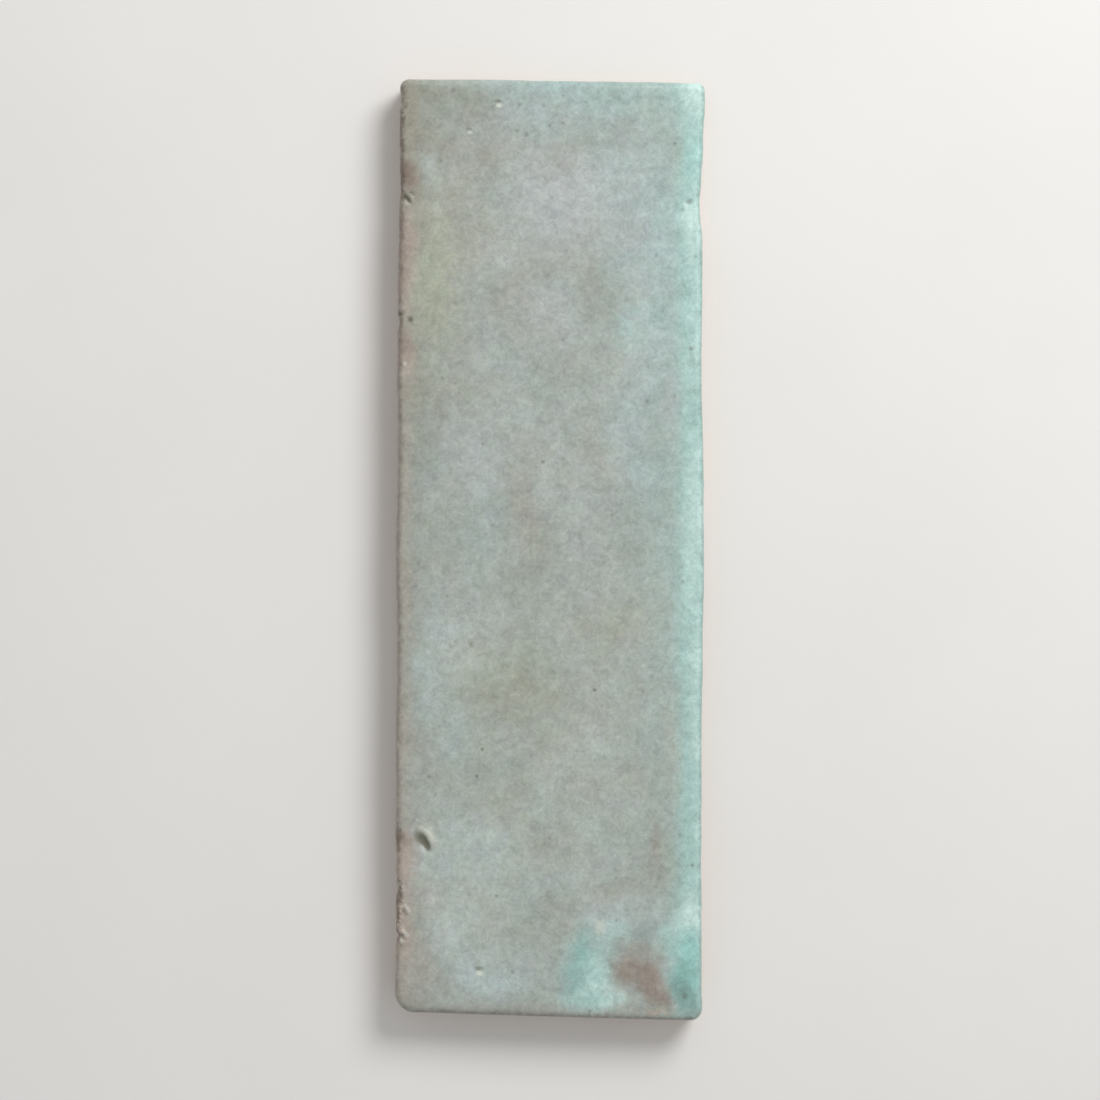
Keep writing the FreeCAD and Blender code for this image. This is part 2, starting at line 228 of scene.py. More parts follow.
# Soft ovals of colour in the glaze, laid in order: (colour, strength, share of the core, oval)
OVALS = [
    # Washes over the ground
    ("lilac", 0.55, 0, 2, 74, 18, 19), ("lilac", 0.4, 0, -3, 50, 12, 16, 10),
    ("lilac", 0.2, 0, 8, 0, 9, 26), ("lilac", 0.25, 0, -18, 20, 9, 16), ("lilac", 0.32, 0, -12, 88, 12, 11),
    ("lilac", 0.35, 0, 16, 66, 9, 7), ("lilac", 0.4, 0, 25.6, 30, 3.4, 14),
    ("umber", 0.15, 0, 14, 66, 7, 6), ("umber", 0.25, 0, -18, 43, 8, 7),
    ("tan", 0.15, 0, -6, 6, 4.5, 16, -4), ("tan", 0.22, 0.1, 25.7, -42, 3.8, 28),
    ("brown", 0.22, 0, -26, 46, 4, 6), ("aqua", 0.3, 0, 16.3, 47, 5.5, 8),
    ("teal", 0.2, 0, 22.5, 49.5, 4.5, 6), ("slate", 0.15, 0, 18, 63, 6, 6),
    ("slate", 0.15, 0, 12, 94, 20, 5), ("aqua", 0.3, 0.1, 16, 95, 18, 6),
    ("olive", 0.65, 0, -25, 57, 9, 26), ("olive", 0.25, 0, -12, -26, 20, 12),
    ("olive", 0.25, 0, 16, -14, 12, 10), ("olive", 0.16, 0.2, -4, -46, 34, 54),
    ("olive", 0.15, 0.1, -15, -70, 19, 27), ("brown", 0.36, 0, 22.6, -62, 3, 13),
    ("slate", 0.4, 0.1, 12.8, -69.7, 2.8, 2.4),
    # Thickest places along the right side
    ("pale_aqua", 0.65, 0.1, 30.5, 97, 4.5, 8), ("pale_aqua", 0.55, 0.1, 30.5, 69.5, 4.5, 5),
    ("pale_aqua", 0.35, 0.1, 30.5, -2, 4.5, 30), ("pale_aqua", 0.8, 0.1, 30.2, -76.6, 4.4, 5.4),
    ("turquoise", 0.5, 0.1, 30.5, 83, 3, 9), ("aqua", 0.5, 0.1, 30.5, 50, 4.5, 9),
    # The splash in the near right corner
    ("slate", 0.6, 0.1, 20.8, -80.4, 6.5, 4.6), ("aqua", 0.35, 0.1, 14, -80.6, 5, 4),
    ("aqua", 0.9, 0.15, 8, -88.5, 8.5, 12, -8), ("slate", 0.45, 0.1, 4.6, -89.8, 3.8, 6.6, -10),
    ("teal", 0.25, 0.1, 7, -86.6, 4, 5), ("pale_aqua", 0.6, 0.1, 10.2, -91.8, 4, 7, -10),
    ("turquoise", 0.35, 0.1, 10.4, -91.4, 2.8, 3.4), ("pale_aqua", 0.75, 0.1, 12.6, -94.8, 6, 4),
    ("aqua", 0.55, 0.2, 8.2, -95.2, 9.5, 3.4), ("cream", 0.5, 0.1, 10.6, -79, 2.6, 2.8, 20),
    # The drops at its right
    ("teal", 0.9, 0.4, 29.2, -89.6, 4, 10.4), ("aqua", 0.75, 0.1, 26.4, -82.4, 3.8, 6),
    ("pale_aqua", 0.35, 0.1, 27.4, -79.4, 2.8, 3.8), ("turquoise", 0.85, 0.2, 29.6, -82.6, 3.4, 5.4),
    ("deep_teal", 0.7, 0.2, 28.8, -94.2, 4.2, 5.4), ("deep_teal", 0.35, 0.2, 30.8, -97.2, 3.6, 3.4),
    ("turquoise", 0.35, 0.1, 30.6, -90.6, 1.5, 2.6),
    # The fringe of the burnt patch
    ("umber", 0.75, 0.2, 18.2, -84.8, 7, 4), ("umber", 0.5, 0.1, 14.4, -88.6, 3, 4.4),
    ("umber", 0.4, 0.1, 22.6, -86.4, 3, 2.6), ("peach", 0.75, 0.2, 22.4, -97.5, 3.2, 1.1, -12),
    # Thin places along the left side
    ("moss", 0.85, 0.3, -32, 87, 7.4, 21), ("moss", 0.5, 0.2, -28.6, 70, 4.6, 13),
    ("moss", 0.3, 0.1, -30, 42, 5, 12), ("brown", 0.95, 0.3, -30.8, 78.4, 4, 4.6),
    ("burnt", 0.5, 0.2, -30.6, 78.6, 2.6, 3.4), ("moss", 0.6, 0.2, -28.6, 74.6, 2.4, 2.6),
    # The cream oval here is a painted highlight on the ridge beside the crevice
    ("cream", 0.4, 0.2, -29.9, 73.7, 0.7, 1.2, 50), ("tan", 0.85, 0.3, -32, 60, 5.4, 16),
    ("brown", 0.6, 0.2, -32, 61, 3.6, 15), ("tan", 0.7, 0.25, -32, 41, 4.5, 8),
    ("brown", 0.75, 0.2, -31.2, 43, 3.4, 4.6), ("tan", 0.85, 0.25, -32, -66, 5.5, 8),
    ("tan", 0.55, 0.25, -32, -80, 4.4, 12), ("tan", 0.38, 0.2, -29.5, -88, 9, 11),
    ("brown", 0.6, 0.25, -32, -62, 4, 4), ("brown", 0.5, 0.1, -29.6, -62.2, 3, 2.8),
    ("burnt", 0.6, 0.2, -32.2, -61.9, 1.6, 1.7), ("brown", 0.3, 0.1, -29, -97, 6, 4),
    # The lip of the pit, as a painted highlight where it catches the light
    ("cream", 0.5, 0.2, -25.1, -61.1, 2.2, 3.4, 35), ("cream", 0.95, 0.4, -25.5, -61.1, 1.3, 3, 36),
]

# A burnt patch in the near right corner, in two pieces: their corners, clockwise
BURNT_PATCH = [
    [(13.6, -87.4), (15.4, -86), (19.3, -86), (22.8, -86.8), (24.2, -89), (24.6, -92.2), (20, -93),
     (15.4, -92), (13.6, -89.8)],
    [(18.6, -88), (24, -88), (25.4, -92.5), (26.3, -96.4), (23.4, -97.6), (20.4, -96.2), (19.2, -93.4)],
]

# Its layers: (colour, softness of the rim, share, how much more where it is cindered)
BURNT_LAYERS = [("umber", 2.8, 0.7, 0), ("brown", 2.3, 0.7, 0.28)]

# Ovals that are broken into streaks, in the same form as the soft ones
STREAKED = [("teal", 0.4, 0.3, 7, -88, 7.5, 11, -8), ("deep_teal", 0.5, 0.3, 28.4, -89, 4, 9)]

# Small spots are (across, along, radius, strength, and the length of a wide one as a share of its width).

# Specks of iron, and painted shade: the hollows by the crumbs and the far rims of the pinholes
SPECKS_AND_SHADE = [
    (26.3, 86, 0.45, 0.5), (12.7, 89.7, 0.4, 0.35), (-7, 93.7, 0.7, 0.35), (-7.4, 88.1, 0.65, 0.35),
    (22.3, 62.3, 0.6, 0.4), (30, 42.8, 0.65, 0.45), (20.3, 31.5, 0.55, 0.4), (-1.7, 18.3, 0.6, 0.45),
    (13, 7.3, 0.45, 0.35), (28, -6.3, 0.45, 0.4), (7.7, -8.3, 0.45, 0.35), (-16.7, -20.6, 0.8, 0.35),
    (9.4, -29.6, 0.55, 0.65), (-14.3, -42.7, 0.5, 0.65), (-15.4, -48.4, 0.5, 0.55), (30.5, -66, 0.5, 0.5),
    (27.7, -59.7, 0.4, 0.4), (-7.7, -89.6, 0.6, 0.4), (28.8, -93.6, 0.9, 0.4), (-1.9, 93.6, 0.6, 0.3),
    (-26, 10, 0.4, 0.3), (-22, -10.5, 0.4, 0.3), (2.5, 44, 0.4, 0.3), (-29.8, 47.9, 0.9, 0.75),
    (-5.4, 87.3, 0.6, 0.35), (-21, 96.6, 0.7, 0.35), (26.4, 32.7, 0.6, 0.35), (20.5, 38.9, 0.6, 0.3),
    (-30.9, -77.2, 0.6, 0.4), (-30.3, -78, 0.5, 0.35), (-31.2, -82.7, 0.6, 0.4), (-31.4, -84.6, 0.5, 0.45),
    (-31.6, -74, 0.6, 0.4), (-11.5, 94.3, 0.5, 0.5, 0.5), (-17.7, 88.4, 0.45, 0.33, 0.5),
    (-14.9, -88.95, 0.63, 0.55, 0.5),
]

# Pale crumbs, lighter as painted highlight on their lit sides, and painted highlights: glints, and the lips
# of the pit and of the pinholes
CRUMBS_AND_HIGHLIGHTS = [
    (-27.9, -58, 0.5, 0.3), (-31, 38.5, 0.6, 0.5), (4.3, -2.2, 0.5, 0.3), (-31.3, -72.2, 0.5, 0.35),
    (-30.5, -76.2, 0.55, 0.4), (-30.1, -76.8, 0.55, 0.45), (-29.7, -77.4, 0.55, 0.4),
    (-30.9, -81.6, 0.55, 0.4), (-30.5, -82.1, 0.55, 0.45), (-30.1, -82.6, 0.55, 0.4),
    (-31.6, -83.4, 0.5, 0.45), (-31.2, -83.7, 0.5, 0.45),
    (-27.3, -59.6, 0.7, 0.5), (-26.7, -59.9, 0.75, 0.6), (-26.1, -60.3, 0.75, 0.7),
    (-25.6, -60.9, 0.75, 0.7), (-25.2, -61.6, 0.75, 0.6), (-24.9, -62.4, 0.6, 0.4),
    (-11.3, 93.4, 0.55, 0.9, 0.7), (-17.5, 87.6, 0.5, 0.6, 0.7), (-14.7, -90.1, 0.7, 1, 0.7),
]


def wave(across, along, wavelength, seed):
    """Smooth values from -1 to 1 over a plane, from a seeded lattice."""
    count = 64
    lattice = np.random.default_rng(seed).uniform(-1, 1, (count, count))
    column, row = np.broadcast_arrays(across / wavelength, along / wavelength)
    left, low = np.floor(column).astype(int), np.floor(row).astype(int)
    s, t = (step ** 3 * (step * (step * 6 - 15) + 10) for step in (column - left, row - low))
    left, low = left % count, low % count
    right, high = (left + 1) % count, (low + 1) % count
    near = lattice[left, low] * (1 - s) + lattice[right, low] * s
    far = lattice[left, high] * (1 - s) + lattice[right, high] * s
    return near * (1 - t) + far * t


def waves(rows, place, seed, other=1):
    """Waves on waves. Each row: (height, place or stretch in the other direction, wavelength)."""
    return sum(height * wave(place, stretch * other, size, seed + step)
               for step, (height, stretch, size) in enumerate(rows))


def smooth(value, low, high):
    """0 below low, 1 above high, and an even curve between them."""
    share = np.clip((value - low) / (high - low), 0, 1)
    return share * share * (3 - 2 * share)


def fade(inset, reach):
    """1 at an edge, falling to 0 at that reach in from it."""
    return np.clip(1 - inset / reach, 0, 1) ** 2


def along_knots(knots, along):
    """A smooth line through given knots."""
    places, values = np.array(knots, dtype=float).T
    step = np.clip(np.searchsorted(places, along) - 1, 0, len(places) - 2)
    share = smooth(along, places[step], places[step + 1])
    return values[step] * (1 - share) + values[step + 1] * share


def spot(across, along, x, y, half_width, half_length, turn=0):
    """Distance from the middle of a turned oval, 1 at its rim."""
    angle = math.radians(turn)
    dx, dy = across - x, along - y
    u = dx * math.cos(angle) + dy * math.sin(angle)
    v = dy * math.cos(angle) - dx * math.sin(angle)
    return np.hypot(u / half_width, v / half_length)


# Marks in the glaze


class GlazeMarks:
    """The marks in the glaze, laid one over another as one coat of colour on the mesh. Some are painted
    highlights, on the lip of the pit and on a ridge by a crevice.
    """

    # How their rims drift: (wavelength, reach)
    DRIFTS = ((5.0, 0.7), (2.4, 0.5), (1.2, 0.4))
    # How far they run down the sides
    SIDE_REACH = 6.0
    STREAK_SIZE, STREAK_STRETCH, CINDER_SIZE = 2.2, 0.6, 3.2

    def __init__(self, colours, across, along, depth, seed):
        self.colours, self.seed, self.depth = colours, seed, depth
        self.across, self.along = across, along
        self.u, self.v = across, along
        for step, (size, reach) in enumerate(self.DRIFTS):
            self.u = self.u + reach * wave(across, along, size, seed + 61 + step)
            self.v = self.v + reach * wave(across, along, size, seed + 65 + step)
        self.coat, self.cover = np.zeros(across.shape + (3,)), np.zeros(across.shape)

    def lay(self, name, share):
        """Lays a colour over what is there."""
        shade = np.array(getattr(self.colours, name))
        self.coat = self.coat * (1 - share)[..., None] + shade * share[..., None]
        self.cover = self.cover * (1 - share) + share

    def oval(self, core, *oval):
        """1 in the core of an oval, falling to 0 at its drifting rim and down the sides."""
        ring = np.hypot(spot(self.u, self.v, *oval), self.depth / self.SIDE_REACH)
        return 1 - smooth(ring, core, 1)

    def patch(self, corners, soft):
        """1 inside a patch whose corners run clockwise, falling to 0 over its drifting rim."""
        mask = 1.0
        for (x0, y0), (x1, y1) in zip(corners, corners[1:] + corners[:1]):
            size = math.hypot(x1 - x0, y1 - y0)
            inwards = ((self.u - x0) * (y1 - y0) - (self.v - y0) * (x1 - x0)) / size
            mask = mask * smooth(inwards, -soft, soft)
        return mask

    def make(self):
        """Lays every mark. Gives each point's colour, and how far the coat covers it."""
        for name, strength, *oval in OVALS:
            self.lay(name, self.oval(*oval) * strength)
        streaks = wave(self.across, self.STREAK_STRETCH * self.along, self.STREAK_SIZE, self.seed + 71)
        streaks = smooth(streaks, 0, 0.6)
        for name, strength, *oval in STREAKED:
            self.lay(name, self.oval(*oval) * streaks * strength)
        cinder = smooth(wave(self.across, self.along, self.CINDER_SIZE, self.seed + 72), -0.6, 0.5)
        for name, soft, share, more in BURNT_LAYERS:
            for piece in BURNT_PATCH:
                self.lay(name, self.patch(piece, soft) * (share + more * cinder))
        return self.coat / np.maximum(self.cover, 1e-6)[..., None], self.cover


# Shape of the tile


class TileShape:
    """Works out the tile's skin in millimetres, from its sizes and the marks of the hand."""

    NOT_LENGTHS = ("side_draft", "seed")
    VECTOR_FIELDS = ("layout", "cast", "marks")
    # The mesh
    BACK_CELL, ROLL_STEPS, SIDE_RINGS = 4, 9, 13
    EDGE_PITCH, EDGE_REACH, BACK_BORDER = 0.36, 7.0, 4.4
    # Waves of the four cuts, and how far in from a side they reach
    LEFT_CUT = ((0.07, 0.3, 9), (0.04, 0.7, 2.8))
    RIGHT_CUT = ((0.07, 3.3, 9), (0.04, 3.7, 2.8))
    NEAR_CUT = ((0.16, 5.3, 15), (0.06, 5.7, 4))
    FAR_CUT = ((0.12, 7.3, 17), (0.05, 7.7, 4))
    CUT_REACH = 14.0
    # The nibbled left arris
    NIBBLES = ((0.6, 0.2, 2.6), (0.5, 0.6, 1.1))
    NIBBLE_BIAS, NIBBLE_DEPTH, NIBBLE_REACH, NIBBLE_DROP = 0.05, 0.55, 2.4, 0.6
    # Its crumbs: the band that they stand in, and their height
    CRUMB_WIDTH, CRUMB_SPREAD, CRUMB_CORE, CRUMB_FALL = 1.2, 1.6, 0.3, (0.2, 1.6)
    CRUMB_HEIGHT, CRUMB_SIZE, CRUMB_STRETCH, FINE_CRUMB, FINE_CRUMB_SIZE = 0.22, 1.5, 1.3, 0.7, 1.0
    # The face: its waves, and the rims of its swells and pits as shares of their size
    FACE_WAVES = ((0.10, 1, 46), (0.05, 1, 19), (0.016, 1, 7), (0.006, 1, 2.6))
    SWELL_RIM, PIT_RIM, LIP_RING, LIP_WIDTH = (0.1, 1.4), (0.25, 1.15), 1.45, 0.4
    RELIEF_EDGE = (-0.5, 1.5)
    # The casts of the glaze, which thins towards the left side
    CAST_DRIFT, CAST_WAVE, LEFT_THINNING, THINNING_REACH = 4.5, 13, -0.62, 16.0
    # The foot of the glaze on the sides, its runs, its coat and its bead
    GLAZE_FOOT, FOOT_SOFT, FOOT_WAVES = 4.6, 0.35, ((1.3, 1.5, 31), (0.7, 2.5, 8))
    RUN_LENGTH, RUN_PLACE, RUN_SPACING = 1.6, 3.5, 17
    COAT, BEAD, BEAD_REACH = 0.1, 0.12, 0.45
    # The grain of the sides, and the rings over which it fades at their top and foot
    SIDE_GRAIN = ((0.10, 2.2, 5), (0.06, 1.5, 1.7))
    TOP_RINGS, FOOT_RINGS = (0, 2.5), (-2, 1)
    # Down and in over the bevel: (height, inwards) as shares of it
    BEVEL_STEPS = ((0.6, 0.4), (0.2, 0.8), (0, 1), (0, 1.24), (0, 1.9))
    BACK_WAVES, HOLLOW_DEPTH = ((1, 1, 24), (0.5, 1, 8)), 0.16

    def __init__(self, sizes, colours):
        self.colours = colours
        for name in sizes.__annotations__:
            scale = 1 if name in self.NOT_LENGTHS else 1 / MM
            setattr(self, name, getattr(sizes, name) * scale)
        self.half_width, self.half_length = self.width / 2, self.length / 2
        self.points, self.faces, self.fields = [], [], {}
        self.count = 0

    def add_points(self, x, y, z, across, along, depth, bare, pit):
        """Adds a block of points, at some depth down the sides, and gives their numbers."""
        across, along, depth, bare, pit = (
            np.broadcast_to(field, x.shape) for field in (across, along, depth, bare, pit))
        self.points.append(np.stack([x, y, z], axis=-1).reshape(-1, 3))
        crumbs = self.crumbs(across, along, depth)
        coat, cover = GlazeMarks(self.colours, across, along, depth, self.seed).make()
        fields = {
            "layout": np.stack([across, along, depth], axis=-1),
            "cast": np.stack([*self.cast(across, along), crumbs], axis=-1),
            "ragged": along_knots(LEFT_RAGGED, along),
            "marks": coat, "cover": cover, "bare": bare, "pit": pit}
        for name, field in fields.items():
            self.fields.setdefault(name, []).append(field)
        numbers = np.arange(self.count, self.count + x.size).reshape(x.shape)
        self.count += x.size
        return numbers

    def mesh_lines(self, half):
        """Places of the mesh lines in one direction, close at the edges and even in the middle."""
        angles = np.linspace(math.pi / 2, 0, self.ROLL_STEPS + 1)
        roll = self.edge_roll * (1 - np.sin(angles))
        border = np.arange(self.edge_roll + self.EDGE_PITCH, self.EDGE_REACH, self.EDGE_PITCH)
        edge = np.concatenate([roll, border])
        start = -half + edge[-1]
        cells = 2 * (len(edge) - 1)
        middle = round(-2 * start / self.pitch)
        middle += -(middle + cells) % self.BACK_CELL
        inner = np.linspace(start, -start, middle + 1)
        return np.concatenate([-half + edge[:-1], inner, half - edge[-2::-1]])

    def rounded(self, across, along):
        """Draws a square-cornered sheet in to the rounded corners. Also gives how far in a point is."""
        radius = np.where(along < 0, np.where(across < 0, self.near_left_round, self.near_right_round),
                          np.where(across < 0, self.far_left_round, self.far_right_round))
        u = (np.abs(across) - (self.half_width - radius)) / radius
        v = (np.abs(along) - (self.half_length - radius)) / radius
        corner = (u > 0) & (v > 0)
        uc, vc = np.where(corner, u, 0), np.where(corner, v, 0)
        un, vn = uc * np.sqrt(1 - vc ** 2 / 2), vc * np.sqrt(1 - uc ** 2 / 2)
        inset = np.where(corner, radius * (1 - np.hypot(un, vn)),
                         np.minimum(self.half_width - np.abs(across), self.half_length - np.abs(along)))
        across = np.where(corner, np.sign(across) * (self.half_width - radius + radius * un), across)
        along = np.where(corner, np.sign(along) * (self.half_length - radius + radius * vn), along)
        return across, along, np.maximum(inset, 0)

    def hand_cut(self, across, along):
        """Moves a point of the true rectangle to its place in the hand-cut outline."""
        u, v = (across / self.half_width + 1) / 2, (along / self.half_length + 1) / 2
        left = -self.half_width + self.left_lean * v
        right = self.half_width - self.right_lean * (1 - v)
        near = -self.half_length + self.near_slope * (1 - u)
        far = self.half_length - self.far_slope * u
        x, y = left * (1 - u) + right * u, near * (1 - v) + far * v
        left_cut = along_knots(LEFT_WANDER, along) + waves(self.LEFT_CUT, along, self.seed + 1)
        right_cut = along_knots(RIGHT_WANDER, along) + waves(self.RIGHT_CUT, along, self.seed + 3)
        near_cut = waves(self.NEAR_CUT, across, self.seed + 5)
        far_cut = waves(self.FAR_CUT, across, self.seed + 7)
        x = x + left_cut * fade(self.half_width + across, self.CUT_REACH)
        x = x - right_cut * fade(self.half_width - across, self.CUT_REACH)
        y = y + near_cut * fade(self.half_length + along, self.CUT_REACH)
        y = y - far_cut * fade(self.half_length - along, self.CUT_REACH)
        return x, y

    def nibbled(self, along):
        """How deep the left arris is nibbled."""
        bite = np.clip(waves(self.NIBBLES, along, self.seed + 11) + self.NIBBLE_BIAS, 0, 1)
        return along_knots(LEFT_RAGGED, along) * bite * self.NIBBLE_DEPTH

    def crumbs(self, across, along, depth):
        """Where the glaze is broken into crumbs along the left edge, from 0 to 1."""
        width = self.CRUMB_WIDTH + self.CRUMB_SPREAD * along_knots(LEFT_RAGGED, along)
        band = 1 - smooth(across + self.half_width, self.CRUMB_CORE * width, width)
        return along_knots(LEFT_CRUMBS, along) * band * (1 - smooth(depth, *self.CRUMB_FALL))

    def relief(self, across, along):
        """Height of the face above the plain crown, and how dark a point inside a pit is painted: partly the
        pit's dark floor, partly painted shade.
        """
        height = waves(self.FACE_WAVES, across, self.seed + 21, along)
        for rise, *oval in SWELLS:
            height = height + rise * (1 - smooth(spot(across, along, *oval), *self.SWELL_RIM))
        lumps = wave(across * self.CRUMB_STRETCH, along, self.CRUMB_SIZE, self.seed + 13)
        lumps = lumps + self.FINE_CRUMB * wave(across, along, self.FINE_CRUMB_SIZE, self.seed + 14)
        height = height + self.CRUMB_HEIGHT * lumps * self.crumbs(across, along, 0)
        pit = np.zeros_like(height)
        for depth, lip, stain, *oval in PITS:
            ring = spot(across, along, *oval)
            hollow = 1 - smooth(ring, *self.PIT_RIM)
            height = height - depth * hollow + lip * np.exp(-((ring - self.LIP_RING) / self.LIP_WIDTH) ** 2)
            pit = np.maximum(pit, hollow * stain)
        return height, pit

    def cast(self, across, along):
        """How thick the glaze lies and how warm it is, either side of 0."""
        u = across + self.CAST_DRIFT * wave(across, along, self.CAST_WAVE, self.seed + 51)
        v = along + self.CAST_DRIFT * wave(across, along, self.CAST_WAVE, self.seed + 52)
        thickness = self.LEFT_THINNING * fade(across + self.half_width, self.THINNING_REACH)
        warmth = np.zeros_like(thickness)
        for thicker, warmer, *oval in CASTS:
            share = 1 - smooth(spot(u, v, *oval), 0, 1)
            thickness, warmth = thickness + thicker * share, warmth + warmer * share
        return thickness, warmth

    def face(self):
        """The glazed face with its rolled edge, as one grid. Gives the numbers and places of its points."""
        across, along = np.meshgrid(self.mesh_lines(self.half_width), self.mesh_lines(self.half_length),
                                    indexing="ij")
        across, along, inset = self.rounded(across, along)
        x, y = self.hand_cut(across, along)
        z = self.thickness - self.crown_across * (x / self.half_width) ** 2
        z = z - self.crown_along * (y / self.half_length) ** 2
        height, pit = self.relief(across, along)
        edge = np.clip(self.edge_roll - inset, 0, self.edge_roll)
        z = z + height * smooth(inset, *self.RELIEF_EDGE)
        z = z - (self.edge_roll - np.sqrt(self.edge_roll ** 2 - edge ** 2))
        bite = self.nibbled(along) * (1 - smooth(across + self.half_width, 0, self.NIBBLE_REACH))
        x, z = x + bite, z - self.NIBBLE_DROP * bite
        numbers = self.add_points(x, y, z, across, along, 0, 0, pit)
        self.add_grid(numbers)
        return numbers, (x, y, z, across, along)

    def add_grid(self, numbers, facing_up=True):
        """Quads over a block of points."""
        corners = [numbers[:-1, :-1], numbers[1:, :-1], numbers[1:, 1:], numbers[:-1, 1:]]
        if not facing_up:
            corners.reverse()
        self.faces += np.stack([corner.ravel() for corner in corners], axis=1).tolist()

    @staticmethod
    def rim(block):
        """The outer points of a grid, once round from its near left corner."""
        return np.concatenate([block[:-1, 0], block[-1, :-1], block[:0:-1, -1], block[0, :0:-1]])

    def sides(self, upper, outline):
        """The sides, from the rolled edge down to the back. Gives the lowest ring's numbers."""
        x, y, z, across, along = outline
        step_x, step_y = (np.roll(place, -1) - np.roll(place, 1) for place in (x, y))
        size = np.maximum(np.hypot(step_x, step_y), 1e-6)
        out_x, out_y = step_y / size, -step_x / size
        round_it = np.cumsum(np.hypot(x - np.roll(x, 1), y - np.roll(y, 1)))

        def add_ring(upper, height, out, bare):
            place = x + out_x * out, y + out_y * out, height
            lower = self.add_points(*place, across, along, z - height, bare, 0)
            corners = [lower, np.roll(lower, -1), np.roll(upper, -1), upper]
            self.faces += np.stack(corners, axis=1).tolist()
            return lower

        runs = smooth(wave(round_it, self.RUN_PLACE, self.RUN_SPACING, self.seed + 33), 0.45, 0.8)
        foot = self.GLAZE_FOOT + waves(self.FOOT_WAVES, round_it, self.seed + 31) - self.RUN_LENGTH * runs
        slope = math.tan(self.side_draft)
        for ring in range(1, self.SIDE_RINGS + 1):
            height = z + (self.back_bevel - z) * (ring / self.SIDE_RINGS)
            bare = 1 - smooth(height, foot - self.FOOT_SOFT, foot + self.FOOT_SOFT)
            bead = np.exp(-((height - foot - self.BEAD_REACH) / self.BEAD_REACH) ** 2)
            swell = self.COAT * (1 - bare) + self.BEAD * bead
            swell = swell + waves(self.SIDE_GRAIN, round_it, self.seed + 34, height)
            swell = swell * smooth(ring, *self.TOP_RINGS) * smooth(self.SIDE_RINGS - ring, *self.FOOT_RINGS)
            upper = add_ring(upper, height, swell - np.maximum(self.widest - height, 0) * slope, bare)
        lean = (self.widest - self.back_bevel) * slope
        for height, inwards in self.BEVEL_STEPS:
            level = np.full_like(z, height * self.back_bevel)
            upper = add_ring(upper, level, -lean - inwards * self.back_bevel, 1)
        return upper

    def back(self, ring):
        """The bare back, on a wider mesh, with shallow hollows left by the drying board."""
        step = self.BACK_CELL
        lines = []
        for half in (self.half_width, self.half_length):
            cells = (len(self.mesh_lines(half)) - 1) // step
            lines.append(np.linspace(-1, 1, cells + 1) * (half - self.BACK_BORDER))
        across, along = np.meshgrid(*lines, indexing="ij")
        x, y = self.hand_cut(across, along)
        hollow = waves(self.BACK_WAVES, across, self.seed + 41, along)
        z = self.HOLLOW_DEPTH * smooth(hollow, 0.1, 1)
        numbers = self.add_points(x, y, z, across, along, self.thickness, 1, 0)
        self.add_grid(numbers, facing_up=False)
        inner = self.rim(numbers)
        for cell in range(len(inner)):
            outer = [ring[(cell * step + k) % len(ring)] for k in range(step, -1, -1)]
            self.faces.append([inner[cell], inner[(cell + 1) % len(inner)], *outer])

    def build(self, name):
        """The whole skin as a mesh."""
        numbers, outline = self.face()
        self.back(self.sides(self.rim(numbers), [self.rim(block) for block in outline]))
        mesh = bpy.data.meshes.new(name)
        mesh.from_pydata((np.concatenate(self.points) * MM).tolist(), [], self.faces)
        for label, blocks in self.fields.items():
            kind, member = ("FLOAT_VECTOR", "vector") if label in self.VECTOR_FIELDS else ("FLOAT", "value")
            values = np.concatenate([block.ravel() for block in blocks]).astype(np.float32)
            mesh.attributes.new(label, kind, "POINT").data.foreach_set(member, values)
        mesh.shade_smooth()
        mesh.validate()
        mesh.update()
        return mesh


# Shader arithmetic


def sign(name, swapped=False):
    """A sign of arithmetic that adds a Math node."""
    def apply(term, other):
        first, second = (other, term) if swapped else (term, other)
        return term.nodes.add("Math", {0: first, 1: second}, operation=name)
    return apply


class Term:
    """A socket's value in a node tree. Arithmetic on it adds nodes to the tree."""

    def __init__(self, nodes, socket):
        self.nodes, self.socket = nodes, socket

    __add__, __radd__ = sign("ADD"), sign("ADD", swapped=True)
    __sub__, __rsub__ = sign("SUBTRACT"), sign("SUBTRACT", swapped=True)
    __mul__, __rmul__ = sign("MULTIPLY"), sign("MULTIPLY", swapped=True)


